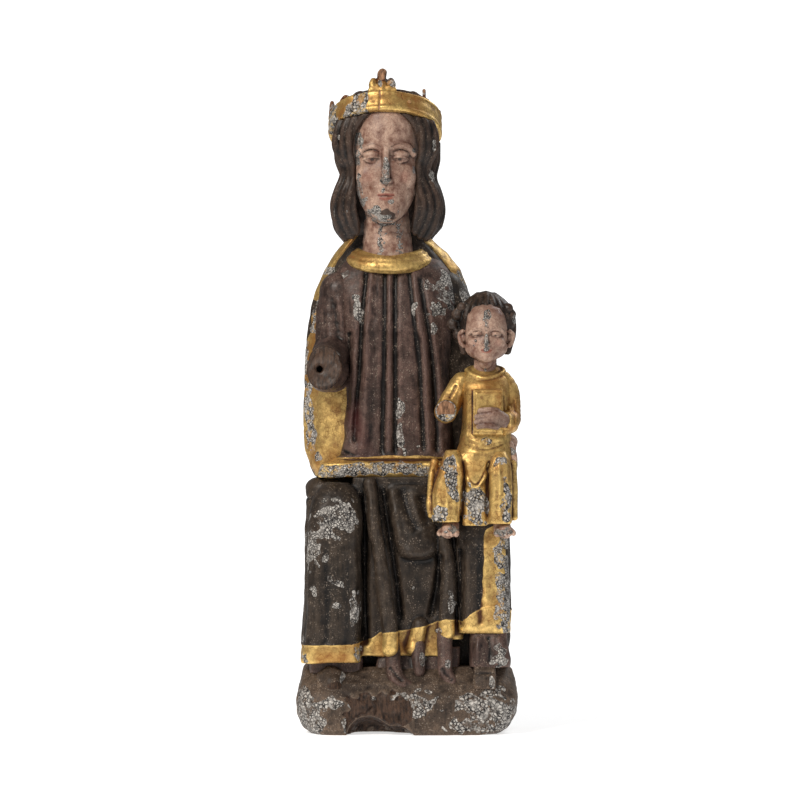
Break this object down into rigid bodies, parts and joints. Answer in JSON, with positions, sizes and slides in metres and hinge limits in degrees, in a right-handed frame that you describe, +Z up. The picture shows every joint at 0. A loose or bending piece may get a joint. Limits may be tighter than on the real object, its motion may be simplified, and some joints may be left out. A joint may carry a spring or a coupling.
{
  "type": "seated madonna and child statue",
  "caption": "Seated crowned mother with a child on her knee, a carved, painted and gilded wooden devotional figure on a low plinth.",
  "frame": {"origin": "middle of the plinth's underside, taken from the overall bounding box", "axes": "+Z up, -Y towards the side the figures face, +X towards the mother's left hand, where the child sits"},
  "size_m": [0.245, 0.1936, 0.7257],
  "materials": {
    "painted_gown": "oil-tempera paint, dull",
    "painted_skirts": "oil-tempera paint, dull",
    "painted_plinth": "worn paint over ground",
    "gilded_gesso": "burnished leaf over bole and gesso",
    "painted_flesh": "oil-tempera flesh paint, soft sheen",
    "painted_hair": "dark paint, dull",
    "bare_aged_wood": "bare, aged",
    "dowel_wood": "bare, turned",
    "forged_iron": "forged, rusted"
  },
  "bodies": {
    "root": {"plinth": "painted_plinth", "bench": "painted_skirts", "skirts": "painted_skirts", "tunic_folds": "painted_gown", "shoes": "painted_plinth", "gown_front": "painted_gown", "mantle": "painted_skirts", "collar": "gilded_gesso", "right_arm": "painted_gown", "left_arm": "painted_skirts", "left_hand": "painted_flesh", "mother_head": "painted_flesh", "mother_hair": "painted_hair", "crown_band": "gilded_gesso", "crown_front_leaf": "gilded_gesso", "crown_worn_leaves": "gilded_gesso", "child_body": "gilded_gesso", "child_gown_skirt": "gilded_gesso", "child_head": "painted_flesh", "child_hair": "painted_hair", "child_right_arm": "gilded_gesso", "child_left_arm": "gilded_gesso", "child_left_hand": "painted_flesh", "child_book": "gilded_gesso", "child_feet": "painted_flesh", "back_board": "bare_aged_wood", "back_board_nails": "forged_iron", "trunk_dowels": "dowel_wood", "skirt_dowels": "dowel_wood", "arm_dowels": "dowel_wood", "child_dowels": "dowel_wood", "crown_pegs": "dowel_wood", "neck_dowel": "dowel_wood"}
  },
  "joints": []
}
